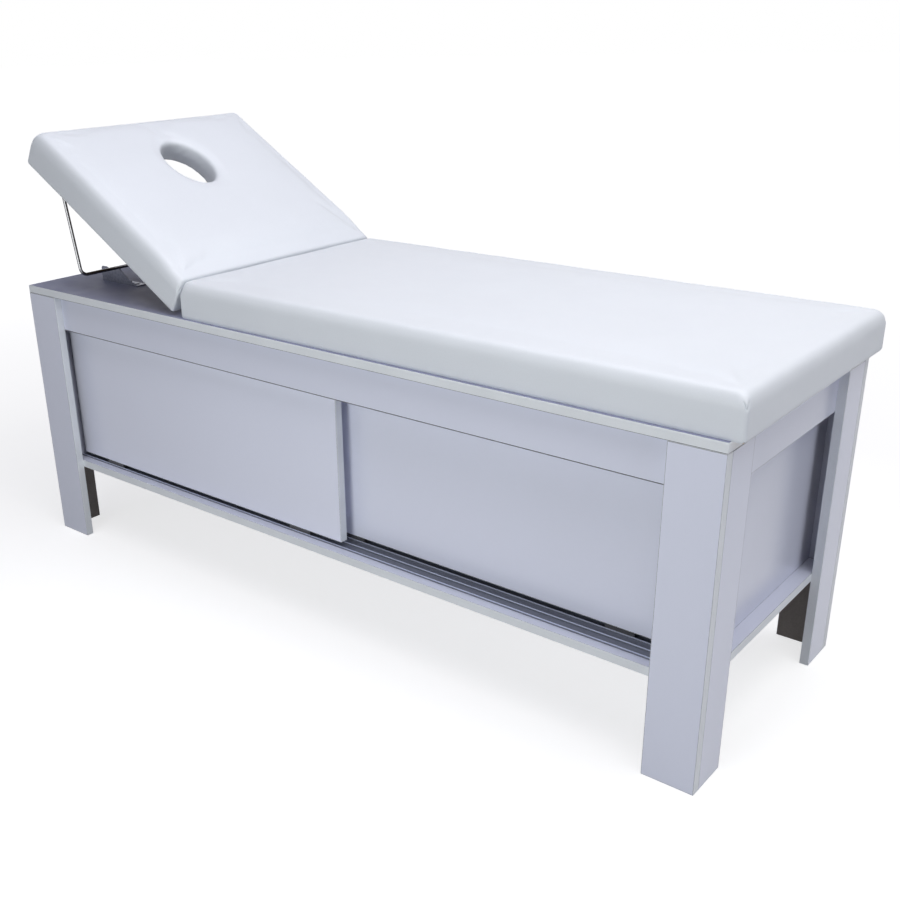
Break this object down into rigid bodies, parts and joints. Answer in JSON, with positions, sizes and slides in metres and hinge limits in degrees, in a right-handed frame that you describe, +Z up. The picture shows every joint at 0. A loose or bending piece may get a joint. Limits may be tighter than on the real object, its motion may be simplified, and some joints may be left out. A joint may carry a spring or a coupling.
{
  "type": "spa treatment bed",
  "caption": "Padded treatment bed with a face hole in its raising headrest, on a board cabinet with sliding doors and corner legs.",
  "frame": {"origin": "centre of the whole object's footprint box, on the floor", "axes": "+X towards the foot end, +Z up, the sliding doors face -Y, raised headrest at -X"},
  "size_m": [1.82, 0.628, 0.9956],
  "materials": {
    "melamine": "glossy white melamine-faced board",
    "frame_wood": "bare sawn timber and plywood",
    "leather": "white soft synthetic leather",
    "foam": "upholstery foam",
    "track": "satin extruded track",
    "plastic": "black nylon",
    "steel": "zinc-plated steel",
    "chrome": "chromed steel rod"
  },
  "bodies": {
    "cabinet": {"tabletop": "melamine", "head_front_leg_face": "melamine", "head_front_leg_side": "melamine", "foot_front_leg_face": "melamine", "foot_front_leg_side": "melamine", "head_back_leg_face": "melamine", "head_back_leg_side": "melamine", "foot_back_leg_face": "melamine", "foot_back_leg_side": "melamine", "front_apron": "melamine", "back_panel": "melamine", "head_end_rail": "melamine", "foot_end_rail": "melamine", "head_end_panel": "melamine", "foot_end_panel": "melamine", "bottom_shelf": "melamine", "centre_partition": "melamine", "bottom_track": "track", "top_track": "track", "front_rack": "steel", "back_rack": "steel", "rack_screws": "steel", "bed_front_rail": "frame_wood", "bed_back_rail": "frame_wood", "bed_hinge_rail": "frame_wood", "bed_foot_rail": "frame_wood", "bed_cross_rails": "frame_wood", "bed_board": "frame_wood", "bed_foam": "foam", "bed_cover": "leather", "bed_frame_screws": "steel", "hinge_bed_leaves": "steel", "hinge_bed_screws": "steel", "hinge_pins": "steel"},
    "headrest": {"rest_front_rail": "frame_wood", "rest_back_rail": "frame_wood", "rest_hinge_rail": "frame_wood", "rest_head_rail": "frame_wood", "rest_board": "frame_wood", "rest_foam": "foam", "rest_cover": "leather", "hinge_rest_leaves": "steel", "hinge_rest_screws": "steel", "prop_bushes": "plastic"},
    "prop": {"prop_bail": "chrome"},
    "left_door": {"left_door": "melamine", "left_door_runners": "plastic"},
    "right_door": {"right_door": "melamine", "right_door_runners": "plastic"}
  },
  "joints": [
    {"name": "head_tilt", "type": "hinge", "parent": "cabinet", "child": "headrest", "pos_m": [-0.358, 0.004, 0.693], "axis": [0, 1, 0], "range_deg": [-31, 0]},
    {"name": "prop_swing", "type": "hinge", "parent": "headrest", "child": "prop", "pos_m": [-0.77033, 0, 0.89409], "axis": [0, 1, 0], "range_deg": [-56.2, 0]},
    {"name": "left_door_slide", "type": "slide", "parent": "cabinet", "child": "left_door", "axis": [1, 0, 0], "range_m": [-0.014, 0.756]},
    {"name": "right_door_slide", "type": "slide", "parent": "cabinet", "child": "right_door", "axis": [1, 0, 0], "range_m": [-0.756, 0.014]}
  ],
  "couplings": [
    {"joint": "prop_swing", "follows": "head_tilt", "ratio": 1.81}
  ]
}
